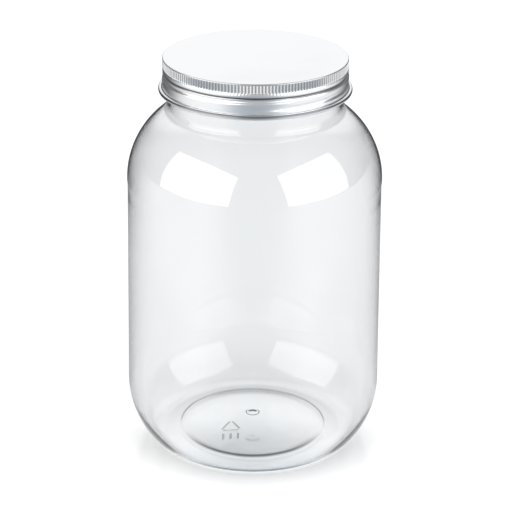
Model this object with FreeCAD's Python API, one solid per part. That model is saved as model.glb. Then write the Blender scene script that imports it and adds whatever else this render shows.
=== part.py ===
"""Clear one-gallon jar with a wide screw neck, closed by a rolled metal lid.

Millimetres, +Z up along the axis of the jar. The origin is the middle of the
circle on which the jar stands. There are two pieces, each one solid: the blown
plastic jar, and the lid, screwed down until its panel sits on the jar's rim.
"""
import FreeCAD, Part
import math
import os

# ---- Jar: outer shape -------------------------------------------------------
JAR_HEIGHT = 245.0          # floor to rim
BODY_RADIUS = 78.0          # widest, where the heel ends
PANEL_DRAFT = 1.45          # how much narrower the label panel is at its top
PANEL_STEP = 0.3            # the shoulder stands this proud of the panel
PANEL_STEP_HEIGHT = 1.8     # height of the sloping edge between the two
HEEL_HEIGHT = 37.6          # floor to the start of the label panel
HEEL_RADIUS = 51.8          # large curve from the panel down to the foot
FOOT_RADIUS = 12.8          # tighter curve that turns under onto the floor
SHOULDER_DROP = 75.6        # rim down to the start of the shoulder
SHOULDER_RADIUS = 51.8
NECK_RADIUS = 52.2          # outside of the neck, between the turns of its thread
NECK_BLEND = 6.2            # radius of the hollow between shoulder and neck
RIM_ROUND = 0.6

# ---- Jar: walls -------------------------------------------------------------
BODY_WALL = 0.8
NECK_WALL = 1.8

# ---- Jar: base, from the foot inwards ---------------------------------------
FOOT_FLAT = 1.6             # width of the ring that touches the floor
LAND_WIDTH = 8.8            # shallow band inside that ring
LAND_RADIUS = 24.0          # of its upward curve
STEP_ANGLE = 62.0           # steepest slope of the step from the land to the dome
STEP_LOWER_RADIUS = 2.4
STEP_UPPER_RADIUS = 1.6
DOME_ANGLE = 17.5           # slope of the dome at its edge
GATE_RADIUS = 3.4           # moulding mark under the middle of the base
GATE_DEPTH = 0.7

# ---- Screw thread on the neck -----------------------------------------------
THREAD_PITCH = 5.08
THREAD_TURNS = 1.2
THREAD_HEIGHT = 2.0         # the ridge stands this far out of the neck
THREAD_ROOT = 2.2           # width of the ridge at the neck
THREAD_CREST = 1.0          # width of the ridge at its top
THREAD_SINK = 0.6           # depth of its root inside the neck's wall
THREAD_TOP_GAP = 9.9        # rim down to the middle of the ridge's upper end
THREAD_TOP_ANGLE = 8.0      # where that end is, seen from above, from +X

# ---- Lid --------------------------------------------------------------------
LID_SHEET = 0.5             # metal with its inner coating
LID_HEIGHT = 20.9           # panel to the lower edge of the hem
LID_EDGE_ROUND = 1.2
SKIRT_CLEARANCE = 0.55      # between the crest of the jar's thread and the skirt
KNURL_INSET = 0.3           # the knurled band is narrower than the skirt
KNURL_TOP_GAP = 1.0         # panel down to the ribs
KNURL_HEIGHT = 4.7
KNURL_RIBS = 180
FLUTE_RADIUS = 0.8          # of the hollows between the ribs
FLUTE_DEPTH = 0.25
GROOVE_GAP = 8.5            # panel down to the groove under the knurled band
GROOVE_DEPTH = 1.0
GROOVE_ROUND = 0.9          # hollow curve of the groove
BEAD_ROUND = 1.2            # full curves above and below it
HEM_RADIUS = 1.38           # lower edge, rolled outwards
HEM_TURN = 290.0

# ---- The lid's thread: a rib rolled inwards, under the jar's ridge -----------
RIB_TURNS = 1.15
RIB_DEPTH = 0.9
RIB_ROUND = 1.7             # hollow side of the rib, seen from outside
RIB_TOP_ANGLE = 301.0       # its upper end, counted on from THREAD_TOP_ANGLE
THREAD_PLAY = 0.25          # gap along the axis between the rib and the ridge

FULL_TURN = 360.0
ORIGIN = FreeCAD.Vector(0, 0, 0)
UP = FreeCAD.Vector(0, 0, 1)

# ---- Sizes that follow from the ones above ----------------------------------
LID_TOP = JAR_HEIGHT + LID_SHEET
THREAD_CREST_RADIUS = NECK_RADIUS + THREAD_HEIGHT
SKIRT_BORE = THREAD_CREST_RADIUS + SKIRT_CLEARANCE
SKIRT_RADIUS = SKIRT_BORE + LID_SHEET
KNURL_BORE = SKIRT_BORE - KNURL_INSET
KNURL_RADIUS = KNURL_BORE + LID_SHEET


def point(radius, height):
    """A point in the plane where the profiles are drawn, X out and Z up."""
    return FreeCAD.Vector(radius, 0, height)


def along(start, distance, degrees):
    """The point at a distance from start; 0 degrees is outwards, 90 up."""
    turn = math.radians(degrees)
    return start + point(distance * math.cos(turn), distance * math.sin(turn))


def slope(start, end):
    """Angle of the line from start to end, in degrees."""
    return math.degrees(math.atan2(end.z - start.z, end.x - start.x))


class Profile:
    """Open outline of straight lines and arcs, each starting at the last end."""

    def __init__(self, start):
        self.end = start
        self.edges = []

    def line(self, radius, height):
        target = point(radius, height)
        self.edges.append(Part.LineSegment(self.end, target).toShape())
        self.end = target

    def arc(self, centre, radius, start, stop):
        """Arc about centre; a line leads to it where it starts further on."""
        first = along(centre, radius, start)
        if not first.isEqual(self.end, 1e-6):
            self.line(first.x, first.z)
        middle = along(centre, radius, (start + stop) / 2)
        last = along(centre, radius, stop)
        self.edges.append(Part.Arc(self.end, middle, last).toShape())
        self.end = last


# ---- Jar --------------------------------------------------------------------
def foot_centre():
    """Centre of the foot's curve, which touches the heel's curve from inside."""
    rise = HEEL_HEIGHT - FOOT_RADIUS
    run = math.sqrt((HEEL_RADIUS - FOOT_RADIUS) ** 2 - rise ** 2)
    return point(BODY_RADIUS - HEEL_RADIUS + run, FOOT_RADIUS)


def draw_base(profile, inset):
    """The base from its dome out to the foot; the outside has no inset."""
    land = point(foot_centre().x - FOOT_FLAT, LAND_RADIUS)
    land_angle = math.degrees(math.asin(LAND_WIDTH / LAND_RADIUS))
    lower = along(land, LAND_RADIUS - STEP_LOWER_RADIUS, -90 - land_angle)
    upper = along(lower, STEP_LOWER_RADIUS + STEP_UPPER_RADIUS, -90 - STEP_ANGLE)
    inner_reach = upper.x / math.sin(math.radians(DOME_ANGLE))
    dome = along(upper, inner_reach, -90 - DOME_ANGLE)
    dome_radius = inner_reach + STEP_UPPER_RADIUS
    gate_angle = 0.0
    if inset == 0:
        gate_angle = math.degrees(math.asin(GATE_RADIUS / dome_radius))
        gate_height = dome.z + dome_radius - GATE_DEPTH
        profile.end = point(0, gate_height)
        profile.line(GATE_RADIUS, gate_height)
    else:
        profile.end = along(dome, dome_radius + inset, 90)
    profile.arc(dome, dome_radius + inset, 90 - gate_angle, 90 - DOME_ANGLE)
    profile.arc(upper, STEP_UPPER_RADIUS + inset, 90 - DOME_ANGLE, 90 - STEP_ANGLE)
    profile.arc(lower, STEP_LOWER_RADIUS - inset, -90 - STEP_ANGLE, -90 - land_angle)
    profile.arc(land, LAND_RADIUS - inset, -90 - land_angle, -90)


def draw_side(profile, inset, neck_radius, blend_radius):
    """The side from the foot up to the neck; the outside has no inset."""
    foot = foot_centre()
    heel = point(BODY_RADIUS - HEEL_RADIUS, HEEL_HEIGHT)
    heel_angle = slope(foot, heel) - 180
    panel_top = BODY_RADIUS - PANEL_DRAFT
    shoulder = point(panel_top + PANEL_STEP - SHOULDER_RADIUS, JAR_HEIGHT - SHOULDER_DROP)
    shoulder_radius = SHOULDER_RADIUS - inset
    run = neck_radius + blend_radius - shoulder.x
    rise = math.sqrt((shoulder_radius + blend_radius) ** 2 - run ** 2)
    blend = point(neck_radius + blend_radius, shoulder.z + rise)
    blend_angle = slope(shoulder, blend)
    profile.arc(foot, FOOT_RADIUS - inset, -90, heel_angle)
    profile.arc(heel, HEEL_RADIUS - inset, heel_angle, 0)
    profile.line(panel_top - inset, shoulder.z - PANEL_STEP_HEIGHT)
    profile.arc(shoulder, shoulder_radius, 0, blend_angle)
    profile.arc(blend, blend_radius, 180 + blend_angle, 180)


def draw_rim(profile, neck_radius, outwards):
    """The neck up to the rim, and its rounded edge; outwards is 1 or -1."""
    edge = point(neck_radius - outwards * RIM_ROUND, JAR_HEIGHT - RIM_ROUND)
    profile.arc(edge, RIM_ROUND, 90 - 90 * outwards, 90)


def helix_sweep(section, angle, height, turns):
    """Sweep a section, drawn at angle 0 and height 0, down a right-hand helix.

    Its upper end is at the given angle and height.
    """
    drop = turns * THREAD_PITCH
    radius = section.CenterOfMass.x
    helix = Part.makeHelix(THREAD_PITCH, drop, radius)
    swept = Part.Wire(helix).makePipeShell([section], True, True)
    swept.rotate(ORIGIN, UP, angle - turns * FULL_TURN)
    swept.translate(UP * (height - drop))
    return swept


def closed_wire(edges):
    """One closed wire of edges given in any order."""
    return Part.Wire(Part.__sortEdges__(edges))


def polygon(points):
    """Closed wire of straight edges through (radius, height) pairs."""
    corners = [point(radius, height) for radius, height in points]
    return Part.makePolygon(corners + corners[:1])


def thread_height(angle):
    """Height of the middle of the jar's ridge at an unwrapped angle."""
    top = JAR_HEIGHT - THREAD_TOP_GAP
    return top + THREAD_PITCH * (angle - THREAD_TOP_ANGLE) / FULL_TURN


def make_thread():
    """The ridge that winds round the neck; its flanks run on into the wall."""
    root = NECK_RADIUS - THREAD_SINK
    flank = (THREAD_ROOT - THREAD_CREST) / 2 / THREAD_HEIGHT
    root_half = THREAD_ROOT / 2 + THREAD_SINK * flank
    section = polygon([
        (root, -root_half),
        (THREAD_CREST_RADIUS, -THREAD_CREST / 2),
        (THREAD_CREST_RADIUS, THREAD_CREST / 2),
        (root, root_half),
    ])
    return helix_sweep(section, THREAD_TOP_ANGLE, thread_height(THREAD_TOP_ANGLE), THREAD_TURNS)


def make_jar():
    """Thin-walled jar: domed base, rounded heel, panel, shoulder, threaded neck."""
    outside = Profile(ORIGIN)
    draw_base(outside, 0)
    draw_side(outside, 0, NECK_RADIUS, NECK_BLEND)
    draw_rim(outside, NECK_RADIUS, 1)
    inside = Profile(ORIGIN)
    draw_base(inside, BODY_WALL)
    draw_side(inside, BODY_WALL, NECK_RADIUS - NECK_WALL, NECK_BLEND + BODY_WALL)
    draw_rim(inside, NECK_RADIUS - NECK_WALL, -1)
    rim = Part.LineSegment(outside.end, inside.end).toShape()
    outer_start = outside.edges[0].firstVertex().Point
    inner_start = inside.edges[0].firstVertex().Point
    axis = Part.LineSegment(outer_start, inner_start).toShape()
    outline = closed_wire(outside.edges + inside.edges + [rim, axis])
    shell = Part.Face(outline).revolve(ORIGIN, UP, FULL_TURN)
    return shell.fuse(make_thread())


# ---- Lid --------------------------------------------------------------------
def lid_outline():
    """Inner side of the lid's sheet, from the middle of the panel to the hem."""
    bead_inner = BEAD_ROUND - LID_SHEET
    groove_inner = GROOVE_ROUND + LID_SHEET
    reach = BEAD_ROUND + GROOVE_ROUND
    groove = point(SKIRT_BORE - GROOVE_DEPTH + groove_inner, LID_TOP - GROOVE_GAP)
    upper_turn = math.degrees(math.acos(1 - (GROOVE_DEPTH - KNURL_INSET) / reach))
    lower_turn = math.degrees(math.acos(1 - GROOVE_DEPTH / reach))
    above = along(groove, reach, 180 - upper_turn)
    below = along(groove, reach, 180 + lower_turn)
    edge_inner = LID_EDGE_ROUND - LID_SHEET
    edge = point(KNURL_BORE - edge_inner, JAR_HEIGHT - edge_inner)
    hem = point(SKIRT_BORE + HEM_RADIUS, LID_TOP - LID_HEIGHT + HEM_RADIUS)
    outline = Profile(point(0, JAR_HEIGHT))
    outline.arc(edge, edge_inner, 90, 0)
    outline.arc(above, bead_inner, 0, -upper_turn)
    outline.arc(groove, groove_inner, 180 - upper_turn, 180 + lower_turn)
    outline.arc(below, bead_inner, lower_turn, 0)
    outline.arc(hem, HEM_RADIUS, 180, 180 + HEM_TURN)
    return Part.Wire(outline.edges)


def make_flutes():
    """The upright hollows between the ribs of the knurled band."""
    height = LID_TOP - KNURL_TOP_GAP - KNURL_HEIGHT
    centre = point(KNURL_RADIUS + FLUTE_RADIUS - FLUTE_DEPTH, height)
    flutes = []
    for index in range(KNURL_RIBS):
        flute = Part.makeCylinder(FLUTE_RADIUS, KNURL_HEIGHT, centre)
        flute.rotate(ORIGIN, UP, FULL_TURN * index / KNURL_RIBS)
        flutes.append(flute)
    return Part.makeCompound(flutes)


def circle_inside(centre, radius, limit):
    """Closed wire of the part of a circle that is nearer the axis than limit."""
    half = math.degrees(math.acos((centre.x - limit) / radius))
    start = along(centre, radius, 180 - half)
    side = Profile(start)
    side.arc(centre, radius, 180 - half, 180 + half)
    side.line(start.x, start.z)
    return Part.Wire(side.edges)


def make_rib_and_channel():
    """The rolled thread: metal to add inside, and the hollow to cut outside."""
    centre = point(SKIRT_RADIUS + RIB_ROUND - RIB_DEPTH, 0)
    back = RIB_ROUND + LID_SHEET
    overhang = centre.x - THREAD_CREST_RADIUS
    rib_half = math.sqrt(max(back ** 2 - overhang ** 2, 0))
    offset = rib_half + THREAD_CREST / 2 + THREAD_PLAY
    height = thread_height(RIB_TOP_ANGLE) - offset
    rib = circle_inside(centre, back, SKIRT_BORE + LID_SHEET / 2)
    channel = circle_inside(centre, RIB_ROUND, centre.x)
    return (
        helix_sweep(rib, RIB_TOP_ANGLE, height, RIB_TURNS),
        helix_sweep(channel, RIB_TOP_ANGLE, height, RIB_TURNS),
    )


def make_lid():
    """Rolled metal lid: flat panel, knurled band, groove, thread and hem."""
    sheet = lid_outline().makeOffset2D(LID_SHEET, 0, True, True)
    lid = sheet.revolve(ORIGIN, UP, FULL_TURN)
    rib, channel = make_rib_and_channel()
    return lid.fuse(rib).cut(channel).cut(make_flutes())


def export(name, shape):
    """Write one piece, which must be a single sound solid, to its STEP file."""
    if len(shape.Solids) != 1 or not shape.isValid():
        raise ValueError(name + " is not one sound solid")
    shape.Solids[0].exportStep(os.path.join("parts", name + ".step"))
    print(name, "volume", round(shape.Volume), "mm3, faces", len(shape.Faces))


os.makedirs("parts", exist_ok=True)
export("jar", make_jar())
export("lid", make_lid())
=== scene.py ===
"""The look of a clear screw-top jar: meshes, finishes, floor, lights and camera.

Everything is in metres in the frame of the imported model: +Z runs up the axis of
the jar, which stands on Z = 0 with its front towards -Y. Profiles are worked out
in millimetres and scaled once, when they become a mesh.
"""
import logging
import math
from dataclasses import dataclass, field
from enum import Enum
from typing import Callable, Mapping, Optional, Sequence, Union

import bpy
import numpy as np
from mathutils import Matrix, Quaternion, Vector


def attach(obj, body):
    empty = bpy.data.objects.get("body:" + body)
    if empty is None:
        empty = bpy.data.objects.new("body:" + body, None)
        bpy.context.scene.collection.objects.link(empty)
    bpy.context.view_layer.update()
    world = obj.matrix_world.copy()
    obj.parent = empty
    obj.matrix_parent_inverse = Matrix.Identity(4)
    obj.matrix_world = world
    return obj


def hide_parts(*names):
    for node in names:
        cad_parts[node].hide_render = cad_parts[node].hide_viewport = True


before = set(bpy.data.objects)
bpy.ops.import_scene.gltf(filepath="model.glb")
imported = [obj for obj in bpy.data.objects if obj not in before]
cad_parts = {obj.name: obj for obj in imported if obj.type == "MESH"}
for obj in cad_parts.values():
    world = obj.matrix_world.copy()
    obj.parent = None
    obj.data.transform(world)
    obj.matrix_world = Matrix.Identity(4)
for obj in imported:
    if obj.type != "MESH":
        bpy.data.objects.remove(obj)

log = logging.getLogger("jar")

Array = np.ndarray
Point = tuple[float, float]
Span = tuple[float, float]
Triple = tuple[float, float, float]
Colour = Triple
Relief = Callable[[Array, Array, Array, Array], Array]

MILLIMETRE = 0.001
SAME_RADIUS = 0.01  # Millimetres within which two radii count as one.
FULL_TURN = 360.0
BLACK: Colour = (0.0, 0.0, 0.0)
WHITE: Colour = (1.0, 1.0, 1.0)
SIDE = "outer_side"


class WallSide(Enum):
    """The two sides of a wall, as the mesh keeps them for its finish."""

    INNER = 0.0
    OUTER = 1.0

    def flags(self, points: Array) -> Array:
        """This side's value for each of the points."""
        return np.full(len(points), self.value)


# ---- Profiles and meshes ------------------------------------------------------
def arc(centre: Point, radius: float, start: float, stop: float, count: int) -> Array:
    """Points on a circle in the (radius, height) plane.

    Formula: centre + radius * (cos a, sin a), with the angle a going from start
    to stop in even steps.

    Args:
        centre: Centre of the circle, in millimetres.
        radius: Radius of the circle.
        start: First angle in degrees; 0 is outwards, 90 up.
        stop: Last angle in degrees.
        count: How many points.

    Returns:
        A (count, 2) array of radius and height.
    """
    angle = np.radians(np.linspace(start, stop, count))
    return np.column_stack(
        (centre[0] + radius * np.cos(angle), centre[1] + radius * np.sin(angle))
    )


def run(start: Point, stop: Point, count: int) -> Array:
    """Points on a straight line, ends left out.

    Formula: start + (stop - start) * k / (count + 1), for k from 1 to count.

    Args:
        start: Where the line starts, in millimetres.
        stop: Where it stops.
        count: How many points lie between the two.

    Returns:
        A (count, 2) array of radius and height.
    """
    share = (np.arange(count) + 1.0)[:, None] / (count + 1)
    return np.asarray(start) + (np.asarray(stop) - np.asarray(start)) * share


def level(radii: Sequence[float], height: float) -> Array:
    """Points at these radii, all at one height."""
    return np.column_stack((radii, np.full(len(radii), height)))


def along(start: Point, distance: float, degrees: float) -> Point:
    """The point at a distance from start, in a direction given in degrees."""
    turn = math.radians(degrees)
    return (start[0] + distance * math.cos(turn), start[1] + distance * math.sin(turn))


def ease(values: Array, low: float, high: float) -> Array:
    """Smooth step: 3 t^2 - 2 t^3, where t goes from 0 at low to 1 at high.

    Args:
        values: Numbers to map.
        low: Value that gives 0.
        high: Value that gives 1; it may be below low.

    Returns:
        An array like values, from 0 to 1.
    """
    t = np.clip((values - low) / (high - low), 0.0, 1.0)
    return t * t * (3.0 - 2.0 * t)


def soft_minimum(first: Array, second: Array, width: float) -> Array:
    """The smaller of two arrays, with a rounded corner where they cross.

    Formula: min(a, b) - width * h^2 / 4, with h = max(1 - |a - b| / width, 0).

    Args:
        first: One array.
        second: The other array.
        width: Difference below which the corner is rounded.

    Returns:
        The blended minimum.
    """
    near = np.maximum(1.0 - np.abs(first - second) / width, 0.0)
    return np.minimum(first, second) - width * near * near / 4.0


def add_object(name: str, data: bpy.types.ID) -> bpy.types.Object:
    """A new object of the scene with this mesh, lamp or camera."""
    made = bpy.data.objects.new(name, data)
    bpy.context.scene.collection.objects.link(made)
    return made


def faces_of(rows: int, segments: int) -> tuple[Array, Array]:
    """Faces of a turned surface that is closed on the axis at both ends.

    Formula: corner (i, j) is number i * segments + j. Each cell of the grid is a
    four-sided face, the last column joins the first, and the first and last rows
    have a fan of triangles to the two points that follow the grid's.

    Args:
        rows: Rows of the grid.
        segments: Corners in each row.

    Returns:
        The corners of all faces in one row, and how many corners each face has.
    """
    first = np.arange(rows * segments).reshape(rows, segments)
    after = np.roll(first, -1, axis=1)
    quads = np.stack((first[:-1], after[:-1], after[1:], first[1:]), axis=-1).reshape(-1, 4)
    start = np.full(segments, first.size)
    stop = np.full(segments, first.size + 1)
    fans = np.concatenate((
        np.stack((start, after[0], first[0]), axis=-1),
        np.stack((first[-1], after[-1], stop), axis=-1),
    ))
    corners = np.concatenate((quads.ravel(), fans.ravel()))
    return corners, np.concatenate((np.full(len(quads), 4), np.full(len(fans), 3)))


def lathe(
    name: str, profile: Array, outer: Array, segments: int, relief: Relief
) -> bpy.types.Object:
    """Turns a profile that starts and ends on the axis into a closed mesh.

    Formula: row i and segment j give the point (R cos t, R sin t, z_i), where
    t = 2 pi j / segments and R = relief(r_i, z_i, t). The two end rows are
    single points on the axis. Faces point to the right of the profile's travel.

    Args:
        name: Name of the object and its mesh.
        profile: (rows, 2) radii and heights in millimetres.
        outer: For each row, 1 on the outer side of the wall and 0 on the inner.
        segments: How many steps go round the axis.
        relief: Gives the radius from radius, height, angle and side, as whole arrays.

    Returns:
        The new object, with a point attribute that tells the wall's sides apart.
    """
    rows = profile[1:-1]
    turn = np.linspace(0.0, 2.0 * math.pi, segments, endpoint=False)
    height = np.repeat(rows[:, 1:], segments, axis=1)
    radius = relief(
        np.repeat(rows[:, :1], segments, axis=1),
        height,
        np.repeat(turn[None, :], len(rows), axis=0),
        np.repeat(outer[1:-1, None], segments, axis=1),
    )
    grid = np.stack((radius * np.cos(turn), radius * np.sin(turn), height), axis=-1)
    ends = np.array([[0.0, 0.0, profile[0, 1]], [0.0, 0.0, profile[-1, 1]]])
    points = np.concatenate((grid.reshape(-1, 3), ends)) * MILLIMETRE
    corners, sizes = faces_of(len(rows), segments)
    mesh = bpy.data.meshes.new(name)
    mesh.vertices.add(len(points))
    mesh.vertices.foreach_set("co", points.ravel())
    mesh.loops.add(len(corners))
    mesh.loops.foreach_set("vertex_index", corners)
    mesh.polygons.add(len(sizes))
    mesh.polygons.foreach_set("loop_start", np.cumsum(sizes) - sizes)
    mesh.update(calc_edges=True)
    mesh.validate()
    mesh.polygons.foreach_set("use_smooth", np.ones(len(sizes), dtype=bool))
    sides = np.concatenate((np.repeat(outer[1:-1], segments), outer[[0, -1]]))
    mesh.attributes.new(SIDE, "FLOAT", "POINT").data.foreach_set("value", sides.astype(float))
    return add_object(name, mesh)


# ---- Shader nodes --------------------------------------------------------------
Value = Union["Signal", float]


@dataclass(frozen=True)
class Signal:
    """A number that runs through a node tree; operators on it add Math nodes."""

    graph: "Graph"
    socket: bpy.types.NodeSocket

    def _math(self, operation: str, *values: Value) -> "Signal":
        """Adds one Math node.

        Args:
            operation: What it works out.
            *values: Its inputs, in order.

        Returns:
            Its result.
        """
        node = self.graph.node(
            "ShaderNodeMath", {"operation": operation}, dict(enumerate(values))
        )
        return Signal(self.graph, node.outputs[0])

    def __add__(self, other: Value) -> "Signal":
        """Sum of the two."""
        return self._math("ADD", self, other)

    __radd__ = __add__

    def __sub__(self, other: Value) -> "Signal":
        """This less the other."""
        return self._math("SUBTRACT", self, other)

    def __rsub__(self, other: Value) -> "Signal":
        """The other less this."""
        return self._math("SUBTRACT", other, self)

    def __mul__(self, other: Value) -> "Signal":
        """Product of the two."""
        return self._math("MULTIPLY", self, other)

    __rmul__ = __mul__

    def __truediv__(self, other: Value) -> "Signal":
        """This divided by the other."""
        return self._math("DIVIDE", self, other)

    def __rtruediv__(self, other: Value) -> "Signal":
        """The other divided by this."""
        return self._math("DIVIDE", other, self)

    def __pow__(self, other: Value) -> "Signal":
        """This to the power of the other."""
        return self._math("POWER", self, other)

    def __abs__(self) -> "Signal":
        """This without its sign."""
        return self._math("ABSOLUTE", self)

    def most(self, other: Value) -> "Signal":
        """The larger of the two."""
        return self._math("MAXIMUM", self, other)

    def below(self, limit: float) -> "Signal":
        """1 where this is under the limit, 0 elsewhere."""
        return self._math("LESS_THAN", self, limit)

    def ramp(self, low: float, high: float) -> "Signal":
        """Smooth step.

        Args:
            low: What gives 0.
            high: What gives 1; it may be below low.

        Returns:
            A number from 0 to 1.
        """
        node = self.graph.node(
            "ShaderNodeMapRange",
            {"interpolation_type": "SMOOTHSTEP"},
            {"Value": self, "From Min": low, "From Max": high, "To Min": 0.0, "To Max": 1.0},
        )
        return Signal(self.graph, node.outputs[0])


class Graph:
    """The nodes of one material or of the world."""

    def __init__(self, tree: bpy.types.NodeTree) -> None:
        """Starts with an empty tree."""
        self.tree = tree
        self.tree.nodes.clear()

    def plug(self, socket: bpy.types.NodeSocket, value: object) -> None:
        """Sets a socket, or links it.

        Args:
            socket: The input.
            value: A plain value, a colour of three parts, a signal, a socket, or a
                node, which stands for its first output.
        """
        if isinstance(value, Signal):
            value = value.socket
        if isinstance(value, bpy.types.Node):
            value = value.outputs[0]
        if isinstance(value, bpy.types.NodeSocket):
            self.tree.links.new(value, socket)
        elif socket.type == "RGBA":
            socket.default_value = (*value, 1.0)
        else:
            socket.default_value = value

    def node(
        self,
        kind: str,
        settings: Optional[Mapping[str, object]] = None,
        inputs: Optional[Mapping[object, object]] = None,
    ) -> bpy.types.Node:
        """Adds a node of any type.

        Args:
            kind: The node's type.
            settings: Its own settings, which are set before its sockets.
            inputs: Values or links by the name or place of the socket.

        Returns:
            The new node.
        """
        made = self.tree.nodes.new(kind)
        for name, value in (settings or {}).items():
            setattr(made, name, value)
        for place, value in (inputs or {}).items():
            self.plug(made.inputs[place], value)
        return made

    def signal(self, node: bpy.types.Node, output: Union[str, int] = 0) -> Signal:
        """One number output of a node."""
        return Signal(self, node.outputs[output])

    def mix(self, share: Value, first: object, second: object) -> bpy.types.NodeSocket:
        """Mixes two colours.

        Args:
            share: 0 gives the first colour, 1 the second.
            first: Colour or socket.
            second: Colour or socket.

        Returns:
            The colour socket.
        """
        node = self.node(
            "ShaderNodeMix",
            {"data_type": "RGBA", "clamp_factor": False},
            {0: share, 6: first, 7: second},
        )
        return node.outputs[2]

    def place(self) -> tuple[Signal, Signal, Signal, bpy.types.NodeSocket]:
        """Object coordinates.

        Returns:
            The three numbers, and the vector's socket.
        """
        vector = self.node("ShaderNodeTexCoord").outputs["Object"]
        parts = self.node("ShaderNodeSeparateXYZ", None, {0: vector})
        return self.signal(parts, 0), self.signal(parts, 1), self.signal(parts, 2), vector

    def noise(
        self, vector: object, scale: float, detail: float, stretch: Triple = (1.0, 1.0, 1.0)
    ) -> Signal:
        """Noise from 0 to 1.

        Args:
            vector: Coordinates.
            scale: Cells to the metre.
            detail: Octaves.
            stretch: Factors on the three coordinates.

        Returns:
            The noise's value.
        """
        spread = self.node("ShaderNodeMapping", None, {"Vector": vector, "Scale": stretch})
        node = self.node(
            "ShaderNodeTexNoise",
            None,
            {"Vector": spread, "Scale": scale, "Detail": detail},
        )
        return self.signal(node)

    def bump(self, relief: Signal) -> bpy.types.Node:
        """The node whose output is the normal of a relief in metres."""
        inputs = {"Height": relief, "Distance": 1.0, "Strength": 1.0}
        return self.node("ShaderNodeBump", None, inputs)


def material(name: str) -> tuple[bpy.types.Material, Graph]:
    """Starts a material.

    Args:
        name: Its name.

    Returns:
        The material, and its tree without nodes.
    """
    made = bpy.data.materials.new(name)
    made.use_nodes = True
    return made, Graph(made.node_tree)


# ---- Finishes -------------------------------------------------------------------
@dataclass(frozen=True)
class ClearPlastic:
    """Blown clear plastic: glossy, faintly wavy, with a moulding mark on its base.

    Lengths are in metres. A span gives where a smooth step is 0 and where it is 1.
    """

    tint: Colour = (0.919, 0.921, 0.923)
    index: float = 1.575
    roughness: float = 0.008
    absorption: Colour = (0.80, 0.84, 0.87)
    density: float = 88.0
    wave_scale: float = 34.0
    wave_stretch: Triple = (1.0, 1.0, 0.45)
    wave_depth: float = 0.00003
    seam_width: float = 0.0005
    seam_crest: float = 0.3
    seam_heights: Span = (0.010, 0.030)
    seam_depth: float = 0.00004
    mark_centre: Point = (-0.0135, -0.0180)
    mark_size: float = 0.0072
    mark_overlap: float = 1.15
    mark_stroke: float = 0.0008
    mark_flank: Span = (0.25, 0.75)
    mark_heights: Span = (0.0095, 0.0125)
    mark_depth: float = 0.0004
    dash_length: float = 0.0045
    dash_step: float = 0.0045
    dash_drop: float = 0.0095

    def _bar(self, x: Signal, y: Signal, centre: Point, degrees: float, length: float) -> Signal:
        """Raised bar with round ends.

        Formula: the distance to the bar's middle line is the length of
        (max(|u| - length / 2, 0), v) in the bar's own axes u and v; the relief
        falls smoothly from 1 to 0 between two shares of the stroke's width.

        Args:
            x: Place across.
            y: Place along.
            centre: Middle of the bar.
            degrees: Direction of the bar.
            length: Length between the middles of its round ends.

        Returns:
            The relief from 0 to 1.
        """
        turn = math.radians(degrees)
        u = (x - centre[0]) * math.cos(turn) + (y - centre[1]) * math.sin(turn)
        v = (y - centre[1]) * math.cos(turn) - (x - centre[0]) * math.sin(turn)
        reach = (abs(u) - length / 2).most(0.0)
        distance = (reach * reach + v * v) ** 0.5
        crest, foot = self.mark_flank
        return 1.0 - distance.ramp(self.mark_stroke * crest, self.mark_stroke * foot)

    def _mark(self, x: Signal, y: Signal) -> Signal:
        """A plain triangle of three bars, with three short dashes before it.

        Args:
            x: Place across.
            y: Place along.

        Returns:
            The relief from 0 to 1.
        """
        bars = []
        for degrees in (90.0, 210.0, 330.0):
            middle = along(self.mark_centre, self.mark_size / 2, degrees + 180)
            length = self.mark_size * self.mark_overlap
            bars.append(self._bar(x, y, middle, degrees + 90, length))
        for place in (-1, 0, 1):
            dash = (
                self.mark_centre[0] + place * self.dash_step,
                self.mark_centre[1] - self.dash_drop,
            )
            bars.append(self._bar(x, y, dash, 90.0, self.dash_length))
        mark = bars[0]
        for bar in bars[1:]:
            mark = mark.most(bar)
        return mark

    def _relief(self, graph: Graph) -> Signal:
        """Waves of the wall, seam of the mould and mark of the base.

        Formula: the sum of each one's height from 0 to 1 times its depth. The
        seam lies where y is 0 and the mark below a height, both outside only.

        Args:
            graph: Nodes of the finish.

        Returns:
            The relief in metres.
        """
        x, y, z, vector = graph.place()
        outer = graph.signal(graph.node("ShaderNodeAttribute", {"attribute_name": SIDE}), "Fac")
        waves = graph.noise(vector, self.wave_scale, 1.0, self.wave_stretch)
        seam = (1.0 - abs(y).ramp(self.seam_width * self.seam_crest, self.seam_width)) * outer
        seam = seam * z.ramp(*self.seam_heights)
        mark = self._mark(x, y) * ((1.0 - z.ramp(*self.mark_heights)) * outer)
        return waves * self.wave_depth + seam * self.seam_depth + mark * self.mark_depth

    def make(self) -> bpy.types.Material:
        """Builds the material.

        Returns:
            The finished material.
        """
        made, graph = material("clear_plastic")
        shader = graph.node(
            "ShaderNodeBsdfPrincipled",
            None,
            {
                "Base Color": self.tint,
                "Roughness": self.roughness,
                "IOR": self.index,
                "Transmission Weight": 1.0,
                "Normal": graph.bump(self._relief(graph)),
            },
        )
        inside = graph.node(
            "ShaderNodeVolumeAbsorption",
            None,
            {"Color": self.absorption, "Density": self.density},
        )
        graph.node("ShaderNodeOutputMaterial", None, {"Surface": shader, "Volume": inside})
        return made


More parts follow.
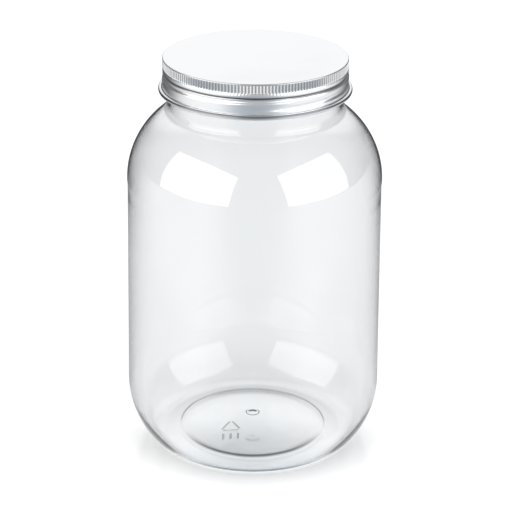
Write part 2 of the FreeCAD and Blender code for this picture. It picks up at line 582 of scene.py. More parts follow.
@dataclass(frozen=True)
class RolledAluminium:
    """Thin rolled sheet under a clear lacquer: satin top, brighter rolled sides.

    Lengths are in metres. A span gives where a smooth step is 0 and where it is 1.
    Each painted crease shade is its height, the distance over which it fades and its share of
    black.
    """

    base: Colour = (0.965, 0.97, 0.98)
    streak: Colour = (0.88, 0.90, 0.93)
    streak_scale: float = 60.0
    streak_detail: float = 4.0
    streak_stretch: Triple = (0.25, 0.25, 22.0)
    streak_noise: Span = (0.45, 0.75)
    streak_colour: float = 0.6
    cloud_scale: float = 42.0
    cloud_detail: float = 2.0
    grain_scale: float = 900.0
    grain_detail: float = 2.0
    grain_stretch: Triple = (1.0, 0.18, 1.0)
    grain_depth: float = 0.000006
    top_roughness: float = 0.30
    top_clouds: float = 0.05
    top_heights: Span = (0.2445, 0.2452)
    side_roughness: float = 0.12
    streak_roughness: float = 0.09
    streak_share: float = 0.6
    skirt_roughness: float = 0.13
    skirt_heights: Span = (0.2404, 0.2392)
    painted_crease_shade: tuple[Triple, ...] = (
        (0.2448, 0.0006, 0.38),
        (0.2366, 0.0014, 0.90),
        (0.2265, 0.0010, 0.78),
    )
    # Painted shade between the knurled band's ribs, faded out at the band's ends.
    rib_crest: float = 0.05493
    rib_floor: float = 0.05458
    painted_rib_shade: float = 0.46
    rib_feet: Span = (0.2399, 0.2404)
    rib_heads: Span = (0.2446, 0.2442)

    def make(self) -> bpy.types.Material:
        """Builds the material.

        Formula: a smooth step of height tells the top from the sides, and each
        has its own roughness and relief.

        Returns:
            The finished material.
        """
        made, graph = material("aluminium")
        x, y, z, vector = graph.place()
        streaks = graph.noise(vector, self.streak_scale, self.streak_detail, self.streak_stretch)
        clouds = graph.noise(vector, self.cloud_scale, self.cloud_detail)
        grain = graph.noise(vector, self.grain_scale, self.grain_detail, self.grain_stretch)
        top = z.ramp(*self.top_heights)
        rubbed = streaks.ramp(*self.streak_noise)
        colour = graph.mix(rubbed * self.streak_colour, self.base, self.streak)
        # Painted shade: the colour goes towards black along each crease and between the ribs.
        colour = graph.mix(self._painted_shade(x, y, z), colour, BLACK)
        uneven = streaks * self.streak_share + clouds * (1.0 - self.streak_share)
        side = self.side_roughness + self.streak_roughness * uneven
        side = side + self.skirt_roughness * z.ramp(*self.skirt_heights)
        flat = self.top_roughness + self.top_clouds * clouds
        roughness = side * (1.0 - top) + flat * top
        relief = grain * self.grain_depth * top + streaks * self.grain_depth * (1.0 - top)
        shader = graph.node(
            "ShaderNodeBsdfPrincipled",
            None,
            {
                "Base Color": colour,
                "Metallic": 1.0,
                "Roughness": roughness,
                "Normal": graph.bump(relief),
            },
        )
        graph.node("ShaderNodeOutputMaterial", None, {"Surface": shader})
        return made

    def _painted_shade(self, x: Signal, y: Signal, z: Signal) -> Signal:
        """Painted shade along each crease and between the ribs of the knurled band.

        Formula: a crease's share of black at its height, falling smoothly to 0 on
        both sides; between the ribs a smooth step of the radius from their crest
        to their floor, faded out at their two ends; the largest of these.

        Args:
            x: Place across.
            y: Place along.
            z: Height.

        Returns:
            The share of black.
        """
        shade = ((x * x + y * y) ** 0.5).ramp(self.rib_crest, self.rib_floor) * self.painted_rib_shade
        shade = shade * z.ramp(*self.rib_feet) * z.ramp(*self.rib_heads)
        for height, fade, share in self.painted_crease_shade:
            shade = shade.most(abs(z - height).ramp(fade, 0.0) * share)
        return shade


# ---- Jar ---------------------------------------------------------------------------
@dataclass
class Jar:
    """The blown jar: domed base, round heel, panel, shoulder and threaded neck.

    Lengths are in millimetres and angles in degrees. A span gives where a smooth
    step is 0 and where it is 1. A wave is its share, its lobes round the jar, its
    phase, and the rise over which it turns by one radian. Rows are the points of
    the profile; those of the gate are shares of its radius.
    """

    height: float = 245.0
    body_radius: float = 78.0
    panel_draft: float = 1.45
    panel_step: float = 0.3
    panel_step_height: float = 1.8
    heel_height: float = 37.6
    heel_radius: float = 51.8
    foot_radius: float = 12.8
    shoulder_drop: float = 75.6
    shoulder_radius: float = 51.8
    neck_radius: float = 52.2
    neck_blend: float = 6.2
    rim_round: float = 0.6
    body_wall: float = 0.8
    neck_wall: float = 1.8
    foot_flat: float = 1.6
    land_width: float = 8.8
    land_radius: float = 24.0
    step_angle: float = 40.0
    step_lower_radius: float = 3.4
    step_upper_radius: float = 3.0
    dome_angle: float = 17.5
    gate_radius: float = 4.2
    gate_depth: float = 0.75
    gate_rows: tuple[float, ...] = (
        0.0, 0.25, 0.45, 0.6, 0.75, 0.85, 0.91, 0.95, 0.99, 1.03, 1.1
    )
    gate_wall: Span = (0.91, 1.03)
    gate_margin: float = 1.25
    pip_height: float = 0.5
    pip_wall: Span = (0.2, 0.75)
    thread_pitch: float = 5.08
    thread_turns: float = 1.2
    thread_height: float = 2.0
    thread_root: float = 2.2
    thread_crest: float = 1.0
    thread_top_gap: float = 9.9
    thread_top_angle: float = 8.0
    thread_fade: float = 9.0
    thread_tip: float = 1.0
    wall_waves: float = 0.03
    waves: tuple[tuple[float, float, float, float], ...] = (
        (1.0, 3.0, 1.3, 41.0),
        (0.8, 5.0, 0.4, -57.0),
        (0.6, 2.0, 0.0, 23.0),
    )
    moulded_calm: float = 0.7
    wave_heel: Span = (8.0, 40.0)
    wave_shoulder: Span = (222.0, 200.0)
    wave_radii: Span = (30.0, 60.0)
    base_extra: float = 0.5
    base_extra_low: float = 3.0
    base_extra_top: float = 30.0
    first_row: float = 0.7
    dome_rows: int = 26
    least_dome_rows: int = 8
    fillet_rows: int = 8
    side_rows: tuple[int, int, int, int, int] = (22, 26, 14, 46, 12)
    thread_rows: int = 32
    thread_laps: int = 3
    neck_rows: int = 2
    bore_rows: int = 4
    rim_rows: int = 5
    inner_base_rows: float = 0.7
    inner_side_rows: float = 0.8
    plain_neck: float = 6.0
    inner_neck: float = 217.0
    rim_gap: float = 1.0
    segments: int = 256
    finish: ClearPlastic = field(default_factory=ClearPlastic)

    def _foot_centre(self) -> Point:
        """Centre of the foot's curve, which touches the heel's from inside.

        Formula: its height is its radius, and its distance from the heel's centre
        is the difference of the two radii.

        Returns:
            Radius and height.
        """
        rise = self.heel_height - self.foot_radius
        across = math.sqrt((self.heel_radius - self.foot_radius) ** 2 - rise**2)
        return (self.body_radius - self.heel_radius + across, self.foot_radius)

    def _gate(self, centre: float, crown: float) -> Array:
        """The sunk moulding mark in the middle of the base, outside.

        Formula: on the dome, less the gate's depth inside a smooth step at its
        wall, plus the pip's height inside a smaller one.

        Args:
            centre: Height of the dome's centre, in millimetres.
            crown: Radius of the dome.

        Returns:
            A (rows, 2) array of radius and height.
        """
        reach = np.array(self.gate_rows) * self.gate_radius
        wall = [share * self.gate_radius for share in self.gate_wall]
        pip = [share * self.gate_radius for share in self.pip_wall]
        sunk = self.gate_depth * (1.0 - ease(reach, *wall))
        raised = self.pip_height * (1.0 - ease(reach, *pip))
        return np.column_stack((reach, centre + np.sqrt(crown**2 - reach**2) - sunk + raised))

    def _base(self, inset: float, scale: float) -> list[Array]:
        """The base from the axis out to the foot.

        Args:
            inset: Distance of this side from the outer side, in millimetres.
            scale: Share of the full count of rows.

        Returns:
            Arcs in order.
        """
        foot = self._foot_centre()
        land = (foot[0] - self.foot_flat, self.land_radius)
        land_angle = math.degrees(math.asin(self.land_width / self.land_radius))
        lower = along(land, self.land_radius - self.step_lower_radius, -90 - land_angle)
        gap = self.step_lower_radius + self.step_upper_radius
        upper = along(lower, gap, -90 - self.step_angle)
        reach = upper[0] / math.sin(math.radians(self.dome_angle))
        dome = along(upper, reach, -90 - self.dome_angle)
        crown = reach + self.step_upper_radius + inset
        first = self.first_row
        middle = np.array([[0.0, dome[1] + crown]])
        if inset == 0:
            gate_edge = self.gate_margin * self.gate_radius
            first = max(first, math.degrees(math.asin(gate_edge / crown)))
            middle = self._gate(dome[1], crown)
        rows = max(int(self.dome_rows * scale), self.least_dome_rows)
        fillets = (
            (upper, self.step_upper_radius + inset, 90 - self.dome_angle, 90 - self.step_angle),
            (lower, self.step_lower_radius - inset, -90 - self.step_angle, -90 - land_angle),
            (land, self.land_radius - inset, -90 - land_angle, -90),
        )
        return [
            middle,
            arc(dome, crown, 90 - first, 90 - self.dome_angle, rows),
            *(arc(*fillet, int(self.fillet_rows * scale) + 2)[1:] for fillet in fillets),
        ]

    def _side(self, inset: float, neck: float, blend: float, scale: float) -> list[Array]:
        """The side from the foot up to the neck.

        Args:
            inset: Distance of this side from the outer side, in millimetres.
            neck: Radius of this side of the neck.
            blend: Radius of the hollow between shoulder and neck.
            scale: Share of the full count of rows.

        Returns:
            Arcs and lines in order.
        """
        foot = self._foot_centre()
        heel = (self.body_radius - self.heel_radius, self.heel_height)
        heel_angle = math.degrees(math.atan2(heel[1] - foot[1], heel[0] - foot[0])) - 180
        top = self.body_radius - self.panel_draft
        shoulder = (top + self.panel_step - self.shoulder_radius, self.height - self.shoulder_drop)
        bow = self.shoulder_radius - inset
        across = neck + blend - shoulder[0]
        rise = math.sqrt((bow + blend) ** 2 - across**2)
        hollow = (neck + blend, shoulder[1] + rise)
        turn = math.degrees(math.atan2(rise, across))
        panel_end = (top - inset, shoulder[1] - self.panel_step_height)
        rows = [int(count * scale) for count in self.side_rows]
        return [
            arc(foot, self.foot_radius - inset, -90, heel_angle, rows[0]),
            arc(heel, self.heel_radius - inset, heel_angle, 0, rows[1])[1:],
            run((self.body_radius - inset, heel[1]), panel_end, rows[2]),
            np.array([panel_end]),
            arc(shoulder, bow, 0, turn, rows[3]),
            arc(hollow, blend, 180 + turn, 180, rows[4])[1:],
        ]

    def _rim(self, neck: float, outwards: int) -> Array:
        """The rounded edge of the rim; outwards is 1 or -1."""
        edge = (neck - outwards * self.rim_round, self.height - self.rim_round)
        return arc(edge, self.rim_round, 90 - 90 * outwards, 90, self.rim_rows)

    def _thicker_base(self, side: Array) -> Array:
        """Moves the inner side inwards where the blown wall is thick, at the base.

        Formula: each point goes along the profile's normal, which is its
        tangent turned by 90 degrees, by extra * (1 - smooth step of height).

        Args:
            side: Radii and heights of the inner side, from the axis out.

        Returns:
            The moved radii and heights.
        """
        step = np.gradient(side, axis=0)
        length = np.maximum(np.hypot(step[:, 0], step[:, 1]), 1e-9)
        normal = np.column_stack((-step[:, 1], step[:, 0])) / length[:, None]
        thick = 1.0 - ease(side[:, 1], self.base_extra_low, self.base_extra_top)
        extra = self.base_extra * thick
        moved = side + normal * extra[:, None]
        moved[0, 0] = 0.0
        return moved

    def profile(self) -> tuple[Array, Array]:
        """Both sides of the wall, from the middle of the base up and back inside.

        Returns:
            Radii and heights in millimetres, and 1 or 0 for the outer or inner side.
        """
        neck = self.neck_radius
        rim = self.height - self.rim_gap
        ridge_top = self.height - self.thread_top_gap + self.thread_root
        ridge_end = ridge_top - self.thread_turns * self.thread_pitch - 2 * self.thread_root
        outside = np.concatenate([
            *self._base(0.0, 1.0),
            *self._side(0.0, neck, self.neck_blend, 1.0),
            run((neck, ridge_end - self.plain_neck), (neck, ridge_end), self.neck_rows),
            run((neck, ridge_end), (neck, ridge_top), self.thread_rows),
            run((neck, ridge_top), (neck, rim), self.neck_rows),
            self._rim(neck, 1),
        ])
        bore = neck - self.neck_wall
        blend = self.neck_blend + self.body_wall
        inside = self._thicker_base(np.concatenate([
            *self._base(self.body_wall, self.inner_base_rows),
            *self._side(self.body_wall, bore, blend, self.inner_side_rows),
            run((bore, self.inner_neck), (bore, rim), self.bore_rows),
            self._rim(bore, -1),
        ]))
        sides = np.concatenate((WallSide.OUTER.flags(outside), WallSide.INNER.flags(inside)))
        return np.concatenate((outside, inside[::-1])), sides

    def _ridge(self, height: Array, turn: Array) -> Array:
        """The screw thread on the neck.

        Formula: at unwrapped angle a, the ridge's middle is at
        top + pitch * (a - a_top) / 360; its height falls in a straight slope
        from its crest's width to its root's, and fades out at both ends.

        Args:
            height: Heights in millimetres.
            turn: Angles in radians.

        Returns:
            Share of the ridge's height, from 0 to 1.
        """
        degrees = np.degrees(turn)
        top = self.height - self.thread_top_gap
        first = self.thread_top_angle
        last = first - FULL_TURN * self.thread_turns
        slope = (self.thread_root - self.thread_crest) / 2.0
        ridge = np.zeros_like(height)
        for lap in range(self.thread_laps):
            angle = degrees - FULL_TURN * lap
            middle = top + self.thread_pitch * (angle - first) / FULL_TURN
            gap = np.abs(height - middle)
            shape = np.clip((self.thread_root / 2.0 - gap) / slope, 0.0, 1.0)
            ends = ease(angle, last - self.thread_tip, last + self.thread_fade)
            ends = ends * ease(angle, first + self.thread_tip, first - self.thread_fade)
            ridge = np.maximum(ridge, shape * ends)
        return ridge

    def relief(self, radius: Array, height: Array, turn: Array, outer: Array) -> Array:
        """Adds the neck's ridge and the slight waves of a blown wall.

        Formula: radius + thread height * ridge + drift. The drift is a sum of low
        sines round the jar whose phase grows with height; it is confined to the
        body, and is stronger on the inner side, which touches no mould.

        Args:
            radius: Radii of the plain profile, in millimetres.
            height: Heights.
            turn: Angles in radians.
            outer: 1 on the outer side, 0 on the inner.

        Returns:
            The new radii.
        """
        on_neck = np.abs(radius - self.neck_radius) < SAME_RADIUS
        body = ease(height, *self.wave_heel) * ease(height, *self.wave_shoulder)
        body = body * ease(radius, *self.wave_radii)
        swell = sum(
            share * np.sin(lobes * turn + phase + height / rise)
            for share, lobes, phase, rise in self.waves
        )
        whole = sum(wave[0] for wave in self.waves)
        drift = self.wall_waves * (1.0 - self.moulded_calm * outer) * swell * body / whole
        ridge = self._ridge(height, turn) * on_neck * outer
        return radius + self.thread_height * ridge + drift

    def build(self) -> bpy.types.Object:
        """Makes the jar in place of the plain solid.

        Returns:
            The finished object.
        """
        points, sides = self.profile()
        made = lathe("jar_wall", points, sides, self.segments, self.relief)
        made.data.materials.append(self.finish.make())
        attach(made, "root")
        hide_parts("jar")
        report(made)
        return made


# ---- Lid ----------------------------------------------------------------------------
@dataclass
class Lid:
    """The rolled lid: panel, knurled band, groove, rolled thread and hem.

    Lengths are in millimetres and angles in degrees. Rows of the panel are radii,
    those of the band are heights above its upper and its lower end, and the
    others are counts along each arc and line.
    """

    rim_height: float = 245.0
    sheet: float = 0.5
    height: float = 20.9
    skirt_bore: float = 54.75
    knurl_inset: float = 0.3
    edge_round: float = 0.9
    knurl_top_gap: float = 1.0
    knurl_height: float = 4.7
    knurl_ribs: int = 180
    knurl_fade: float = 0.25
    knurl_margin: float = 0.05
    flute_depth: float = 0.44
    groove_gap: float = 9.2
    groove_depth: float = 1.0
    groove_round: float = 0.5
    bead_round: float = 1.0
    lower_bead_round: float = 2.4
    hem_radius: float = 1.38
    hem_turn: float = 290.0
    thread_pitch: float = 5.08
    channel_round: float = 1.7
    channel_depth: float = 0.9
    channel_turns: float = 1.15
    channel_laps: int = 2
    channel_top_angle: float = 301.0
    channel_top_height: float = 235.6
    channel_head: float = 14.0
    channel_tail: float = 62.0
    channel_lift: float = 0.4
    channel_hem_gap: float = 0.4
    channel_reach: float = 2.4
    channel_soft: float = 0.35
    steps_per_rib: int = 5
    inner_panel_rows: tuple[float, ...] = (0.0, 25.0, 50.0)
    outer_panel_rows: tuple[float, ...] = (0.0, 18.0, 36.0, 48.0, 52.6)
    band_top_rows: tuple[float, ...] = (0.05, -0.2, -0.5, -2.2)
    band_end_rows: tuple[float, ...] = (0.5, 0.2, -0.05)
    inner_rows: tuple[int, ...] = (3, 3, 5, 3, 10, 19)
    outer_rows: tuple[int, ...] = (7, 5, 9, 6, 20, 10)
    finish: RolledAluminium = field(default_factory=RolledAluminium)

    @property
    def top(self) -> float:
        """Height of the panel's outer side."""
        return self.rim_height + self.sheet

    @property
    def hem_height(self) -> float:
        """Height of the middle of the hem's curl."""
        return self.top - self.height + self.hem_radius

    @property
    def knurl_radius(self) -> float:
        """Radius of the knurled band's outer side, over its ribs."""
        return self.skirt_bore - self.knurl_inset + self.sheet

    def _wall(self, offset: float, rows: Sequence[int]) -> list[Array]:
        """The panel's edge, band, groove, skirt and hem, on one side of the sheet.

        Args:
            offset: 0 on the inner side, the sheet's thickness on the outer.
            rows: Rows on the edge, upper bead, groove, lower bead, skirt and hem.

        Returns:
            Arcs and lines from the panel's edge down and round the hem.
        """
        knurl_bore = self.skirt_bore - self.knurl_inset
        inner_groove = self.groove_round + self.sheet
        middle = (self.skirt_bore - self.groove_depth + inner_groove, self.top - self.groove_gap)
        upper_reach = self.bead_round + self.groove_round
        lower_reach = self.lower_bead_round + self.groove_round
        upper_turn = math.degrees(
            math.acos(1 - (self.groove_depth - self.knurl_inset) / upper_reach)
        )
        lower_turn = math.degrees(math.acos(1 - self.groove_depth / lower_reach))
        above = along(middle, upper_reach, 180 - upper_turn)
        below = along(middle, lower_reach, 180 + lower_turn)
        round_inner = self.edge_round - self.sheet
        edge = (knurl_bore - round_inner, self.rim_height - round_inner)
        bead = self.bead_round - self.sheet + offset
        lower_bead = self.lower_bead_round - self.sheet + offset
        band_top = self.top - self.knurl_top_gap
        band_end = band_top - self.knurl_height
        steps = np.concatenate((
            band_top + np.array(self.band_top_rows), band_end + np.array(self.band_end_rows)
        ))
        within = (steps < edge[1]) & (steps > above[1])
        steps = steps[within] if offset else band_top + np.array(self.band_top_rows[-1:])
        skirt = self.skirt_bore + offset
        hem = (self.skirt_bore + self.hem_radius, self.hem_height)
        return [
            arc(edge, round_inner + offset, 90, 0, rows[0]),
            np.column_stack((np.full(len(steps), knurl_bore + offset), steps)),
            arc(above, bead, 0, -upper_turn, rows[1]),
            arc(middle, inner_groove - offset, 180 - upper_turn, 180 + lower_turn, rows[2])[1:],
            arc(below, lower_bead, lower_turn, 0, rows[3])[1:],
            run((skirt, below[1]), (skirt, self.hem_height), rows[4]),
            arc(hem, self.hem_radius - offset, 180, 180 + self.hem_turn, rows[5]),
        ]

    def profile(self) -> tuple[Array, Array]:
        """Both sides of the sheet, from the middle inside, round the hem, to the top.

        Returns:
            Radii and heights in millimetres, and 1 or 0 for the outer or inner side.
        """
        inside = np.concatenate([
            level(self.inner_panel_rows, self.rim_height), *self._wall(0.0, self.inner_rows)
        ])
        outside = np.concatenate([
            level(self.outer_panel_rows, self.top), *self._wall(self.sheet, self.outer_rows)
        ])
        sides = np.concatenate((WallSide.INNER.flags(inside), WallSide.OUTER.flags(outside)))
        return np.concatenate((inside, outside[::-1])), sides

    def _flutes(self, height: Array, turn: Array) -> Array:
        """Depth of the knurled band's grooves between its roof-shaped ribs.

        Formula: with t the place within one rib's pitch, in steps, the depth is
        the full one on the groove's floor, from 0 to 1, and falls straight to
        nothing at the rib's crest, faded out at the band's two ends.

        Args:
            height: Heights in millimetres.
            turn: Angles in radians.

        Returns:
            The depth in millimetres.
        """
        pitch = 2.0 * math.pi / self.knurl_ribs
        steps = np.mod(turn, pitch) / pitch * self.steps_per_rib
        steps = np.round(steps) % self.steps_per_rib
        rise = np.minimum(np.maximum(steps - 1.0, 0.0), self.steps_per_rib - steps)
        depth = self.flute_depth * (1.0 - np.minimum(rise / (self.steps_per_rib / 2 - 0.5), 1.0))
        start = self.top - self.knurl_top_gap
        stop = start - self.knurl_height
        upper = ease(height, start + self.knurl_fade, start - self.knurl_margin)
        lower = ease(height, stop - self.knurl_margin, stop + self.knurl_fade)
        return depth * (upper * lower)

    def _channel(self, height: Array, turn: Array, outer: Array) -> Array:
        """Radius to which the roller presses the sheet.

        Formula: c - sqrt(R^2 - d^2), where c is the radius of the roller's
        centre and d the distance in height to the thread's middle, which rises
        by one pitch to a turn. On the inner side R has the sheet added. The
        roller backs away over the last degrees at both ends.

        Args:
            height: Heights in millimetres.
            turn: Angles in radians.
            outer: 1 on the outer side, 0 on the inner.

        Returns:
            The radius, which has no limit where the roller doesn't reach.
        """
        degrees = np.degrees(turn)
        centre = self.skirt_bore + self.sheet + self.channel_round - self.channel_depth
        roller = self.channel_round + self.sheet * (1.0 - outer)
        first = self.channel_top_angle
        last = first - FULL_TURN * self.channel_turns
        limit = np.full_like(height, np.inf)
        for lap in range(self.channel_laps):
            angle = degrees - FULL_TURN * lap
            rise = self.thread_pitch * (angle - first) / FULL_TURN
            middle = self.channel_top_height + rise
            inside = np.maximum(roller**2 - (height - middle) ** 2, 0.0)
            share = ease(angle, last, last + self.channel_tail)
            share = share * ease(angle, first, first - self.channel_head)
            away = (1.0 - share) * (self.channel_depth + self.channel_lift)
            cut = centre + away - np.sqrt(inside)
            limit = np.minimum(limit, np.where(inside > 0.0, cut, np.inf))
        return limit

    def relief(self, radius: Array, height: Array, turn: Array, outer: Array) -> Array:
        """Presses the flutes and the rolled thread into the sheet.

        Formula: the flutes' depth comes off the band's outer side. Between the
        band and the hem, the radius is the soft minimum of the plain radius and
        the roller's.

        Args:
            radius: Radii of the plain profile, in millimetres.
            height: Heights.
            turn: Angles in radians.
            outer: 1 on the outer side, 0 on the inner.

        Returns:
            The new radii.
        """
        on_band = (outer > 0.5) & (np.abs(radius - self.knurl_radius) < SAME_RADIUS)
        pressed = radius - self._flutes(height, turn) * on_band
        on_skirt = height > self.hem_height + self.channel_hem_gap
        on_skirt &= height < self.top - self.groove_gap + self.channel_reach
        on_skirt &= radius < self.skirt_bore + self.sheet + SAME_RADIUS
        rolled = soft_minimum(pressed, self._channel(height, turn, outer), self.channel_soft)
        return np.where(on_skirt, rolled, pressed)

    def _facet(self, mesh: bpy.types.Mesh) -> None:
        """Leaves the knurled band's faces flat, so that its ribs stay crisp.

        Args:
            mesh: The lid's mesh.
        """
        count = len(mesh.polygons)
        middle = np.empty(count * 3)
        mesh.polygons.foreach_get("center", middle)
        middle = middle.reshape(count, 3) / MILLIMETRE
        reach = np.hypot(middle[:, 0], middle[:, 1])
        start = self.top - self.knurl_top_gap
        band = (middle[:, 2] < start) & (middle[:, 2] > start - self.knurl_height)
        band &= reach > self.knurl_radius - self.flute_depth - self.knurl_margin
        mesh.polygons.foreach_set("use_smooth", ~band)
        mesh.update()

    def build(self) -> bpy.types.Object:
        """Makes the lid in place of the plain solid.

        Returns:
            The finished object.
        """
        points, sides = self.profile()
        segments = self.knurl_ribs * self.steps_per_rib
        made = lathe("lid_sheet", points, sides, segments, self.relief)
        self._facet(made.data)
        made.data.materials.append(self.finish.make())
        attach(made, "root")
        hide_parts("lid")
        report(made)
        return made


# ---- Studio ---------------------------------------------------------------------------
@dataclass(frozen=True)
class Softbox:
    """A soft lamp that leans over the jar; azimuth 0 is the front, 90 is +X."""

    name: str
    azimuth: float
    width: float
    low: float = 0.15
    high: float = 1.80
    low_distance: float = 2.0
    high_distance: float = 1.65
    radiance: float = 1.9
    colour: Colour = WHITE

    def build(self) -> bpy.types.Object:
        """Makes the lamp, turned to face the jar squarely across its lean.

        Returns:
            The lamp's object.
        """
        turn = math.radians(self.azimuth)
        away = Vector((math.sin(turn), -math.cos(turn), 0.0))
        foot = away * self.low_distance + Vector((0, 0, self.low))
        head = away * self.high_distance + Vector((0, 0, self.high))
        upright = (head - foot).normalized()
        facing = away.cross(Vector((0, 0, 1))).cross(upright)
        data = bpy.data.lights.new(self.name, "AREA")
        data.shape = "RECTANGLE"
        data.size = self.width
        data.size_y = (head - foot).length
        data.energy = self.radiance * math.pi * data.size * data.size_y
        data.color = self.colour
        made = add_object(self.name, data)
        made.location = (foot + head) / 2
        made.rotation_euler = facing.to_track_quat("-Z", "Y").to_euler()
        made.visible_camera = False
        return made


@dataclass(frozen=True)
class Floor:
    """A pale glossy sheet that carries the jar's shadow and its faint reflection.

    Lengths are in metres. The lift is light that the sheet gives of itself where it is seen
    directly or through clear walls: even on the open floor, with painted light under the jar and a
    painted contact shadow beside it, added to the shadow that the lamps cast. A span gives where a
    smooth step is 0 and where it is 1.
    """

    half_width: float = 7.0
    drop: float = 0.0001
    colour: Colour = (0.80, 0.80, 0.80)
    roughness: float = 0.9
    lift: float = 0.68
    # Painted light and shade that mirrored rays find on the floor.
    front_level: Colour = (0.37, 0.42, 0.47)
    side_level: Colour = (0.90, 0.91, 0.92)
    back_level: Colour = (0.09, 0.09, 0.095)
    near_back_level: Colour = (0.56, 0.57, 0.58)
    front_turn: Span = (0.70, 1.0)
    back_turn: Span = (-0.10, -0.78)
    back_lean: float = 0.12
    back_near: float = 0.30
    back_far: float = 0.60
    # Painted light under the jar: levels of the centre disc and of the ring round it, in front and
    # behind.
    centre_front: float = 1.18
    centre_back: float = 2.74
    ring_front: float = 2.20
    ring_back: float = 1.86
    glow_half: float = 0.035
    glow_radius: float = 0.053
    glow_end: float = 0.064
    # Painted shadow: a dark crescent under the base's step, in front.
    crescent: float = 0.95
    crescent_radius: float = 0.0422
    crescent_width: float = 0.0062
    crescent_fade: Span = (-0.038, 0.004)
    centre_edge: float = 0.003
    # Painted shade: a faint dark line under the foot, behind.
    back_line: float = 0.16
    back_line_radius: float = 0.0530
    back_line_width: float = 0.0040
    back_line_fade: Span = (0.004, 0.030)
    # Painted contact shadow beside the foot, in front and behind.
    contact_front: float = 0.37
    contact_back: float = 0.86
    contact_radius: float = 0.060
    contact_reach: float = 0.092
    gloss: float = 0.20
    inner_gloss: float = 0.70
    gloss_roughness: float = 0.02

    def _sheet(self) -> bpy.types.Mesh:
        """A level square a hair below the jar's foot.

        Returns:
            Its mesh.
        """
        corner = self.half_width
        mesh = bpy.data.meshes.new("floor")
        mesh.from_pydata(
            [(-corner, -corner, -self.drop), (corner, -corner, -self.drop),
             (corner, corner, -self.drop), (-corner, corner, -self.drop)],
            [], [(0, 1, 2, 3)],
        )
        return mesh

    def _mirrored(
        self, graph: Graph, x: Signal, y: Signal, radius: Signal
    ) -> bpy.types.NodeSocket:
        """Painted light and shade that a mirrored ray finds on the floor: dim in front, bright
        beside, dark behind.

        Formula: with c the cosine of the angle from -Y, the front's share is a
        smooth step of c, and the share behind is one of c leaned to the right.
        Behind, the level goes from a grey near the jar to nearly black far off.

        Args:
            graph: Nodes of the floor's finish.
            x: Place across.
            y: Place along.
            radius: Distance from the axis.

        Returns:
            The colour socket.
        """
        ahead = 0.0 - y / radius
        aside = x / radius
        front = ahead.ramp(*self.front_turn)
        behind = (ahead + self.back_lean * aside).ramp(*self.back_turn)
        beside = graph.mix(front, self.side_level, self.front_level)
        far = radius.ramp(self.back_near, self.back_far)
        back = graph.mix(far, self.near_back_level, self.back_level)
        return graph.mix(behind, beside, back)

    def _painted_light(self, y: Signal, radius: Signal, inside: Signal) -> Signal:
        """Painted light in place of what clear walls gather on the floor, and painted shadow
        beside the foot.

        Formula: under the jar's foot the painted light is the centre's level within the crescent
        and the ring's round it. Beside the foot it is the painted contact shadow's, which rises
        smoothly to the open floor's. Each goes smoothly from its level behind the axis to its
        level in front.

        Args:
            y: Place along.
            radius: Distance from the axis.
            inside: 1 under the jar, 0 beside it.

        Returns:
            The lift.
        """
        open_floor = radius.ramp(self.contact_radius, self.contact_reach)
        forward = 1.0 - y.ramp(-self.glow_half, self.glow_half)
        centre_end = self.crescent_radius + self.centre_edge
        centre = 1.0 - radius.ramp(self.crescent_radius, centre_end)
        ring = self.ring_back + (self.ring_front - self.ring_back) * forward
        disc = self.centre_back + (self.centre_front - self.centre_back) * forward
        contact = self.contact_back + (self.contact_front - self.contact_back) * forward
        glow = ring + (disc - ring) * centre - contact
        return contact + (self.lift - contact) * open_floor + glow * inside

    def _painted_crescent_shadow(self, y: Signal, radius: Signal) -> Signal:
        """A painted dark crescent of shadow in front, under the base's step.

        Formula: 1 at its radius, falling smoothly to 0 over its width and fading
        out towards the back.

        Args:
            y: Place along.
            radius: Distance from the axis.

        Returns:
            The share of dark.
        """
        line = 1.0 - abs(radius - self.crescent_radius).ramp(0.0, self.crescent_width)
        return line * (1.0 - y.ramp(*self.crescent_fade)) * self.crescent

    def _painted_back_shade(self, y: Signal, radius: Signal) -> Signal:
        """A faint painted line of shade under the foot behind.

        Formula: as the crescent's, fading out towards the front.

        Args:
            y: Place along.
            radius: Distance from the axis.

        Returns:
            The share of dark.
        """
        line = 1.0 - abs(radius - self.back_line_radius).ramp(0.0, self.back_line_width)
        return line * y.ramp(*self.back_line_fade) * self.back_line

    def _finish(self) -> bpy.types.Material:
        """Builds the sheet's material.

        Formula: what is seen directly or through clear walls is the sheet's own colour and lift,
        with its painted light and painted contact shadow, less the painted dark lines, with a
        gloss; a mirrored ray finds the painted mirrored levels alone; diffuse light finds the
        colour.

        Returns:
            The finished material.
        """
        made, graph = material("pale_floor")
        x, y, _, _ = graph.place()
        radius = (x * x + y * y) ** 0.5
        inside = 1.0 - radius.ramp(self.glow_radius, self.glow_end)
        crescent = self._painted_crescent_shadow(y, radius)
        light = self._painted_light(y, radius, inside)
        light = light * (1.0 - crescent) * (1.0 - self._painted_back_shade(y, radius))
        plain, mirrored = sight(graph)
        # Painted light: the floor glows with its painted light, contact shadow and dark lines, or
        # with the painted mirrored levels.
        shine = graph.mix(plain * light, BLACK, WHITE)
        shine = graph.mix(mirrored, shine, self._mirrored(graph, x, y, radius))
        gloss_share = self.gloss + (self.inner_gloss - self.gloss) * inside
        gloss_share = gloss_share * (1.0 - mirrored) * (1.0 - crescent)
        sheet = graph.node(
            "ShaderNodeBsdfPrincipled",
            None,
            {
                "Base Color": graph.mix(mirrored.most(crescent), self.colour, BLACK),
                "Roughness": self.roughness,
                "Specular IOR Level": 0.0,
                "Emission Color": shine,
                "Emission Strength": 1.0,
            },
        )
        gloss = graph.node("ShaderNodeBsdfAnisotropic", None, {"Roughness": self.gloss_roughness})
        both = graph.node("ShaderNodeMixShader", None, {0: gloss_share, 1: sheet, 2: gloss})
        graph.node("ShaderNodeOutputMaterial", None, {"Surface": both})
        return made

